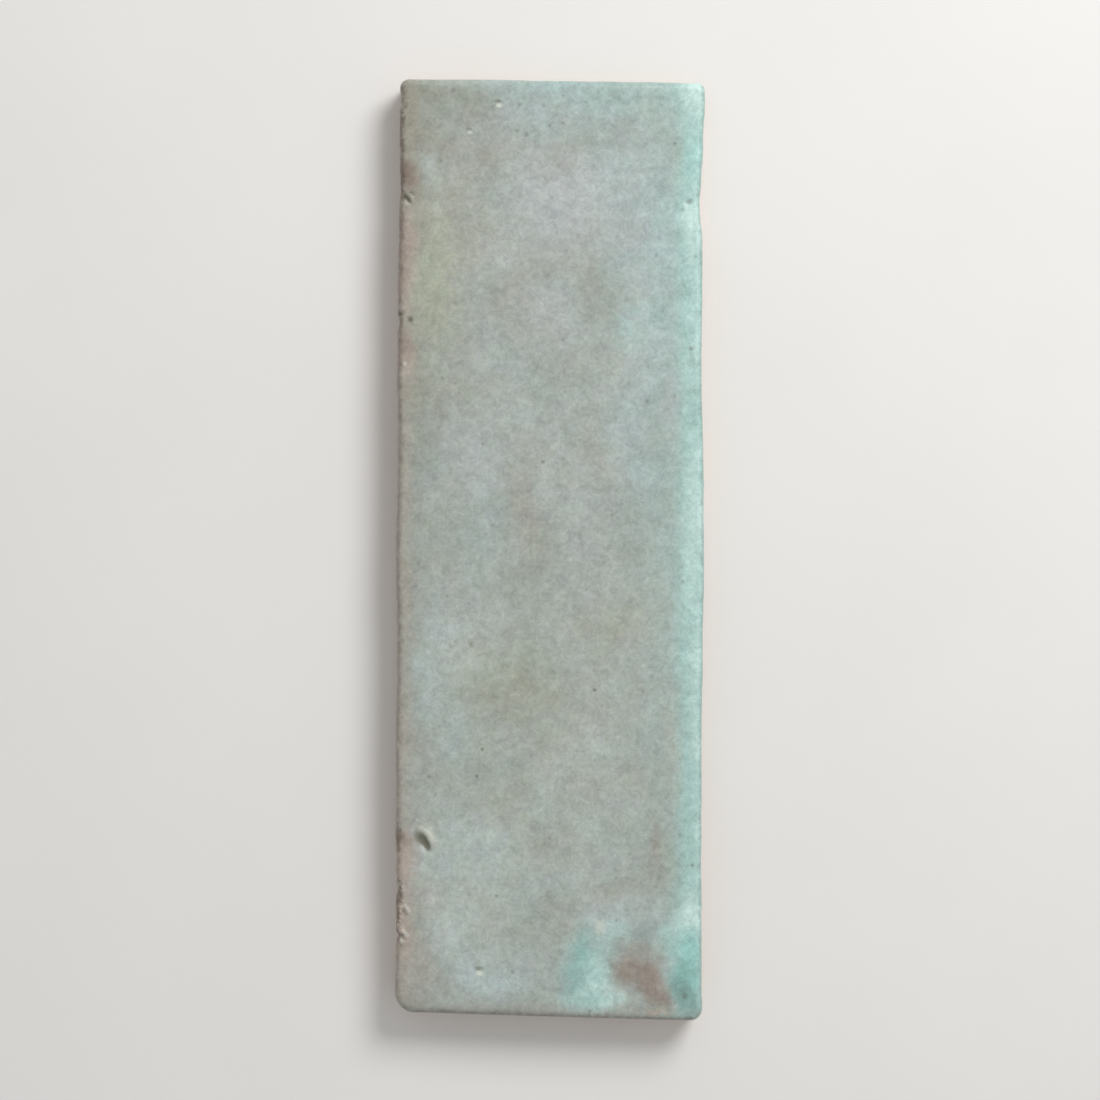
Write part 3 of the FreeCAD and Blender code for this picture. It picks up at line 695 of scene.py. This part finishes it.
class Nodes:
    """The nodes of a material or a world, and the ways of adding to them."""

    def __init__(self, owner):
        owner.use_nodes = True
        self.owner, self.tree = owner, owner.node_tree
        self.tree.nodes.clear()

    def add(self, kind, values=None, output=0, **settings):
        """Adds a node: its settings first, then its sockets' values or links. Gives one of its outputs."""
        node = self.tree.nodes.new("ShaderNode" + kind)
        for name, value in settings.items():
            setattr(node, name, value)
        for name, value in (values or {}).items():
            if isinstance(value, Term):
                self.tree.links.new(value.socket, node.inputs[name])
            else:
                node.inputs[name].default_value = value
        return Term(self, node.outputs[output]) if node.outputs else None

    def other(self, term, output):
        """Another output of the same node."""
        return Term(self, term.socket.node.outputs[output])

    def rise(self, value, low, high, top=1.0):
        """0 at low, 1 or another top at high, and an even curve between them."""
        sockets = {0: value, 1: low, 2: high, 3: 0.0, 4: top}
        return self.add("MapRange", sockets, interpolation_type="SMOOTHSTEP")

    def noise(self, place, size, detail=2.0, rough=0.5, curl=0.0):
        """Cloudy values about 0.5, in clouds of that size."""
        clouds = {"Scale": 1 / size, "Detail": detail, "Roughness": rough, "Distortion": curl}
        return self.add("TexNoise", {"Vector": place, **clouds})

    def blend(self, share, first, second):
        """A colour between two colours."""
        first, second = (shade if isinstance(shade, Term) else (*shade, 1.0) for shade in (first, second))
        return self.add("Mix", {0: share, 6: first, 7: second}, output=2, data_type="RGBA")

    def vector(self, operation, first, second, output=0):
        """Arithmetic on vectors. Output 1 is a plain number."""
        return self.add("VectorMath", {0: first, 1: second}, output, operation=operation)

    def scaled(self, vector, factor):
        """A vector times a number."""
        return self.add("VectorMath", {0: vector, "Scale": factor}, operation="SCALE")

    def seen(self):
        """1 for a ray that sees its surroundings, straight or by way of a gloss or a glass."""
        path = self.add("LightPath")
        rays = ("Is Camera Ray", "Is Glossy Ray", "Is Transmission Ray")
        return self.rise(sum(self.other(path, ray) for ray in rays), 0.0, 1.0)


class GlazeFinish(Nodes):
    """The glaze over the clay, laid from its ground up. Its lengths are in millimetres."""

    # Tints of the ground, and its clouds: (size, roughness, strength)
    COOL_TO_WARM = (0.95, 1.02, 1.01), (1.06, 1.0, 0.945)
    LILAC_TO_GREEN = (1.03, 0.978, 1.03), (0.97, 1.022, 0.97)
    THICK_CLOUDS, WARM_CLOUDS, GREEN_CLOUDS = (15, 0.7, 1.1), (13, 0.6, 1.4), (3.2, 0.85, 2.2)
    # The pool, from thin to thick: (where it starts, where it is full, strength)
    POOL = ((15, 5, 0.3), (7.5, 3.0, 0.8))
    # Bands along the edges: where they start, and where they are full
    FAR_BAND, PALE_BAND, LEFT_BAND, NEAR_BAND = (5.0, 0.5), (5.0, 1.5), (5.0, 0.5), (3.8, 0.4)
    # The broken line along an arris, partly painted shade, and how soon an edge's colours end below it
    LINE, SIDE_FADE = (0.9, 0.1), 0.4
    # Rim and core of a spot, as shares of its radius, and how far it is shaken out of round
    DOT_RIM, DOT_CORE, DOT_SHAKE = 1.15, 0.2, 0.5
    # Grains in the melt: spacing, rim, and the cells that are dark specks or pale painted glints
    GRAIN_SPACING, GRAIN_RIM, DARK_CELLS, PALE_CELLS = 2.8, (0.2, 0.06), (0.8, 1.0), (0.2, 0.0)
    # Clouds of the clay, where it is bare, and the burnt foot of the glaze
    GROG, STAIN, BARE, BURNT_FOOT = (0.5, 0.28), (0.5, 0.75), (0.35, 0.65), (0.0, 0.3)
    GLAZE_ROUGH, CLAY_ROUGH = 0.34, 0.86
    # Heights of the bump
    PEEL, FINE_PEEL, CRUMB_RISE, GROG_RISE, FINE_GROG = 0.025, 0.012, 0.5, 0.16, 0.05

    def __init__(self, name, sizes, colours):
        super().__init__(bpy.data.materials.new(name))
        self.colours = colours
        self.half_width, self.half_length = sizes.width / MM / 2, sizes.length / MM / 2
        self.place = self.scaled(self.add("TexCoord", output=3), 1 / MM)
        self.layout = self.field("layout", 1)
        self.across, self.along, self.depth = self.parts(self.layout)
        self.thickness, self.warmth, self.crumbs = self.parts(self.field("cast", 1))
        self.ragged, self.bare, self.pit, self.cover = (
            self.field(name, 2) for name in ("ragged", "bare", "pit", "cover"))
        self.fine = self.noise(self.place, size=0.9, rough=0.8)
        self.cloud = self.swing(size=5.5, detail=3.0, rough=0.6)
        self.lumps = self.swing(size=1.5, rough=0.6)
        self.broken = self.swing(size=1.6, detail=3.0, rough=0.7)
        shake = self.vector("SUBTRACT", self.other(self.fine, 1), (0.5, 0.5, 0.5))
        self.shaken = self.vector("ADD", self.layout, self.scaled(shake, self.DOT_SHAKE))
        self.glaze = colours.thin

    def field(self, name, output):
        """Values that the mesh carries."""
        return self.add("Attribute", output=output, attribute_name=name)

    def parts(self, vector):
        """The three parts of a vector."""
        first = self.add("SeparateXYZ", {0: vector})
        return first, self.other(first, 1), self.other(first, 2)

    def swing(self, **cloud):
        """Cloudy values either side of 0."""
        return self.noise(self.place, **cloud) - 0.5

    def mottle(self, size, rough, strength):
        """Clouds about an even mix."""
        return 0.5 + self.swing(size=size, detail=3.0, rough=rough) * strength

    def paint(self, colour_name, share):
        """Lays one of the colours over the glaze so far."""
        self.glaze = self.blend(share, self.glaze, getattr(self.colours, colour_name))

    def dot(self, x, y, radius, strength, flat=1.0):
        """A small spot, strongest in its middle, which may be wider than it is long."""
        place = self.shaken if flat == 1.0 else self.vector("MULTIPLY", self.shaken, (flat, 1, 1))
        far = self.vector("DISTANCE", place, (x * flat, y, 0), output=1)
        return self.rise(far, radius * self.DOT_RIM, radius * self.DOT_CORE, strength)

    def ground(self):
        """Thicker and thinner glaze, cooler and warmer, in broad casts and in a close mottle."""
        self.paint("thick", self.mottle(*self.THICK_CLOUDS) + 0.5 * self.thickness)
        warm = self.mottle(*self.WARM_CLOUDS) + 0.5 * self.warmth
        green = self.mottle(*self.GREEN_CLOUDS)
        for share, tints in ((warm, self.COOL_TO_WARM), (green, self.LILAC_TO_GREEN)):
            self.glaze = self.vector("MULTIPLY", self.glaze, self.blend(share, *tints))

    def pool(self):
        """The glaze that gathered along the far edge and in a pool down the right side. Along the far edge
        its pale band is partly painted highlight.
        """
        # Along the far edge: partly gathered glaze, partly painted highlight on the arris
        by_far = self.rise(self.half_length - self.along + self.cloud * 6, *self.FAR_BAND)
        self.paint("aqua", by_far * self.rise(self.across, -32, 12) * 0.3)
        inset = self.half_width - self.across + self.swing(size=9) * 3.6 + self.broken * 2.4
        for start, full, strength in self.POOL:
            self.paint("aqua", self.rise(inset, start, full) * strength)
        pale = self.noise(self.vector("MULTIPLY", self.place, (1, 0.45, 1)), size=8)
        self.paint("pale_aqua", self.rise(inset, *self.PALE_BAND) * self.rise(pale, 0.35, 0.7) * 0.6)

    def marks(self):
        """The coat of marks that the mesh carries, with a finer rim."""
        rim = self.broken * self.cover * (1 - self.cover) * 2.4
        self.glaze = self.blend(self.cover + rim, self.glaze, self.field("marks", 1))

    def edges(self):
        """The edges, where the glaze thins and breaks over the clay, with painted shade along the left, near
        and right arrises and between the crumbs, and painted highlight on the crumbs.
        """
        down = self.depth * self.SIDE_FADE
        left = self.half_width + self.across + down
        right = self.half_width - self.across + down
        near = self.half_length + self.along + down
        self.paint("tan", self.rise(left + self.cloud * 3.5, *self.LEFT_BAND) * 0.4 * (1 - self.cover))
        # Umber along the near edge, more on the left: partly thin glaze, partly painted shade where the
        # rolled edge turns from the light
        by_left = self.rise(self.across, 20, -20)
        self.paint("umber", self.rise(near + self.cloud * 3, *self.NEAR_BAND) * (0.4 + 0.3 * by_left))
        # A broken dark line along the left arris, darkest in the low places of the lumps: partly glaze burnt
        # over the clay, partly painted shade
        line = self.rise(left + self.depth * 0.6 + self.broken * 3 - self.ragged * 0.5, *self.LINE)
        beads = self.rise(self.lumps, 0.13, -0.04)
        self.paint("burnt", line * beads * (0.2 + 0.6 * self.ragged))
        # Painted shade in the low places between the crumbs, and painted highlight in peach on their tops
        crumbled = self.lumps * self.crumbs
        self.paint("burnt", self.rise(crumbled, -0.02, -0.14) * 0.65)
        self.paint("peach", self.rise(crumbled, 0.02, 0.14) * 0.5)
        # Painted shade along the right arris
        self.paint("deep_teal", self.rise(right + self.broken * 2.5, *self.LINE) * 0.5)
        # A broken dark line along the near arris: partly glaze broken over it, partly painted shade
        self.paint("burnt", self.rise(near + self.broken * 3, *self.LINE) * 0.5)

    def specks(self):
        """The close grain of the melt, its specks, pits and crumbs, with painted shade in the pits and
        hollows and painted highlights for glints, crumbs and lips.
        """
        cell = self.add("TexVoronoi", {"Vector": self.place, "Scale": 1 / self.GRAIN_SPACING})
        pick = self.add("SeparateXYZ", {0: self.other(cell, 1)})
        grain = self.rise(cell, *self.GRAIN_RIM)
        self.paint("speck_and_shade", grain * self.rise(pick, *self.DARK_CELLS) * 0.35)
        # Painted glints on a share of the grains, kept off the coat of marks
        self.paint("cream", grain * self.rise(pick, *self.PALE_CELLS) * 0.25 * (1 - self.cover))
        curls = self.swing(size=2.4, detail=3.5, rough=0.9, curl=0.4)
        self.glaze = self.scaled(self.glaze, 1 + (self.fine - 0.5) * 0.38 + curls)
        # Iron specks, and painted shade in the hollows by the crumbs and at the far rims of the pinholes
        self.paint("speck_and_shade", sum(self.dot(*row) for row in SPECKS_AND_SHADE))
        # Painted shade in the pits, over their dark floors
        self.paint("speck_and_shade", self.rise(self.pit + (self.fine - 0.5) * 0.2, 0.1, 0.75) * 0.9)
        # Painted highlights: crumbs lit on their tops, glints, and the lips of the pit and of the pinholes
        self.paint("cream", sum(self.dot(*row) for row in CRUMBS_AND_HIGHLIGHTS))

    def body(self):
        """The bare clay, and its grain."""
        grog = self.noise(self.place, size=1.1, detail=4.0, rough=0.7)
        stain = self.noise(self.place, size=17, detail=3.0, rough=0.6)
        dark = self.colours.dark_clay
        clay = self.blend(self.rise(grog, *self.GROG) * 0.6, self.colours.clay, dark)
        return self.blend(self.rise(stain, *self.STAIN) * 0.35, clay, dark), grog

    def make(self):
        """The whole material."""
        for layer in (self.ground, self.pool, self.marks, self.edges, self.specks):
            layer()
        clay, grog = self.body()
        uncovered = self.rise(self.bare + (grog - 0.5) * 0.5, *self.BARE)
        self.paint("burnt", self.rise(self.bare + (grog - 0.5) * 0.3, *self.BURNT_FOOT) * 0.55)
        rough = self.GLAZE_ROUGH + (self.fine - 0.5) * 0.2
        peel = self.noise(self.place, size=2.2) * self.PEEL + self.fine * self.FINE_PEEL
        peel = peel + self.lumps * self.crumbs * self.CRUMB_RISE
        grain = grog * self.GROG_RISE + self.noise(self.place, size=0.5) * self.FINE_GROG
        height = peel + uncovered * (grain - peel)
        surface = self.add("BsdfPrincipled", {
            "Base Color": self.blend(uncovered, self.glaze, clay),
            "Roughness": rough + uncovered * (self.CLAY_ROUGH - rough),
            "Normal": self.add("Bump", {"Distance": MM, "Height": height})})
        self.add("OutputMaterial", {"Surface": surface})
        return self.owner


# Operators


class MESH_OT_wall_tile_add(bpy.types.Operator):
    """Adds the glazed tile, in place of the plain solid"""

    bl_idname = "mesh.wall_tile_add"
    bl_label = "Add Glazed Tile"

    def execute(self, context):
        scene = context.scene
        sizes, colours = scene.tile_sizes, scene.glaze_colours
        mesh = TileShape(sizes, colours).build("glazed_tile")
        mesh.materials.append(GlazeFinish("sage_glaze_over_clay", sizes, colours).make())
        tile = bpy.data.objects.new("glazed_tile", mesh)
        scene.collection.objects.link(tile)
        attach(tile, "root")
        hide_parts("wall_tile")
        return {"FINISHED"}


class SCENE_OT_tile_stage_add(bpy.types.Operator):
    """Adds the floor, the light and the camera that looks straight down on the tile"""

    bl_idname = "scene.tile_stage_add"
    bl_label = "Add Stage"

    # In metres: half the floor, where it fades, and where the key light hangs
    FLOOR_REACH, HAZE, KEY_PLACE = 6.0, (0.15, 0.6), (0.42, 0.52, 0.62)
    CLOUD_SIZE, FLOOR_ROUGH = 0.05, 0.8

    def execute(self, context):
        scene = context.scene
        stage = scene.tile_stage
        self.add_floor(scene, stage)
        self.add_sky(scene, stage)
        self.add_key(scene, stage)
        self.add_camera(scene, stage)
        scene.view_settings.view_transform = "Standard"
        return {"FINISHED"}

    def add_floor(self, scene, stage):
        mesh = bpy.data.meshes.new("floor")
        reach = self.FLOOR_REACH
        corners = [(-reach, -reach, 0), (reach, -reach, 0), (reach, reach, 0), (-reach, reach, 0)]
        mesh.from_pydata(corners, [], [(0, 1, 2, 3)])
        paper = Nodes(bpy.data.materials.new("pale_floor"))
        place = paper.add("TexCoord", output=3)
        cloud = paper.noise(place, self.CLOUD_SIZE, detail=4.0)
        shade = paper.blend(paper.rise(cloud, 0.3, 0.7) * 0.25, stage.floor, stage.floor_shade)
        near = paper.add("BsdfPrincipled", {"Base Color": shade, "Roughness": self.FLOOR_ROUGH})
        haze = paper.add("Emission", {"Color": (*stage.backdrop, 1.0)})
        far = paper.rise(paper.vector("LENGTH", place, (0, 0, 0), output=1), *self.HAZE)
        faded = paper.add("MixShader", {0: far * paper.seen(), 1: near, 2: haze})
        paper.add("OutputMaterial", {"Surface": faded})
        mesh.materials.append(paper.owner)
        floor = bpy.data.objects.new("floor", mesh)
        scene.collection.objects.link(floor)
        floor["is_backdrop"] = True

    def add_sky(self, scene, stage):
        scene.world = bpy.data.worlds.new("even_sky")
        sky = Nodes(scene.world)
        light = sky.add("Background", {"Color": (1, 1, 1, 1), "Strength": stage.sky})
        backdrop = sky.add("Background", {"Color": (*stage.backdrop, 1.0)})
        both = sky.add("MixShader", {0: sky.seen(), 1: light, 2: backdrop})
        sky.add("OutputWorld", {"Surface": both})

    def add_key(self, scene, stage):
        light = bpy.data.lights.new("key_light", "AREA")
        light.shape = "DISK"
        light.size = stage.key_size
        light.energy = stage.key_power
        key = bpy.data.objects.new("key_light", light)
        key.location = self.KEY_PLACE
        key.rotation_euler = (-Vector(self.KEY_PLACE)).to_track_quat("-Z", "Y").to_euler()
        scene.collection.objects.link(key)

    def add_camera(self, scene, stage):
        lens = bpy.data.cameras.new("camera")
        lens.lens = stage.lens
        camera = bpy.data.objects.new("camera", lens)
        low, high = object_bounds()
        middle = (low + high) / 2
        spread = lens.sensor_width / lens.lens
        up = (high.y - low.y) / stage.frame_share / spread
        camera.location = (middle.x, middle.y, high.z + up)
        scene.collection.objects.link(camera)
        scene.camera = camera


GROUPS = {"tile_sizes": TileSizes, "glaze_colours": GlazeColours, "tile_stage": StageSettings}
OPERATORS = (MESH_OT_wall_tile_add, SCENE_OT_tile_stage_add)


class VIEW3D_PT_wall_tile(bpy.types.Panel):
    """The tile's sizes, colours and stage"""

    bl_label = "Wall Tile"
    bl_space_type = "VIEW_3D"
    bl_region_type = "UI"
    bl_category = "Wall Tile"

    def draw(self, context):
        for operator in OPERATORS:
            self.layout.operator(operator.bl_idname)
        for label, group in GROUPS.items():
            box = self.layout.box()
            for name in group.__annotations__:
                box.prop(getattr(context.scene, label), name)


CLASSES = (*GROUPS.values(), *OPERATORS, VIEW3D_PT_wall_tile)


def register():
    for cls in CLASSES:
        bpy.utils.register_class(cls)
    for name, group in GROUPS.items():
        setattr(bpy.types.Scene, name, PointerProperty(type=group))


def unregister():
    for name in GROUPS:
        delattr(bpy.types.Scene, name)
    for cls in reversed(CLASSES):
        bpy.utils.unregister_class(cls)


def main():
    register()
    bpy.ops.mesh.wall_tile_add()
    bpy.ops.scene.tile_stage_add()


if __name__ == "__main__":
    main()
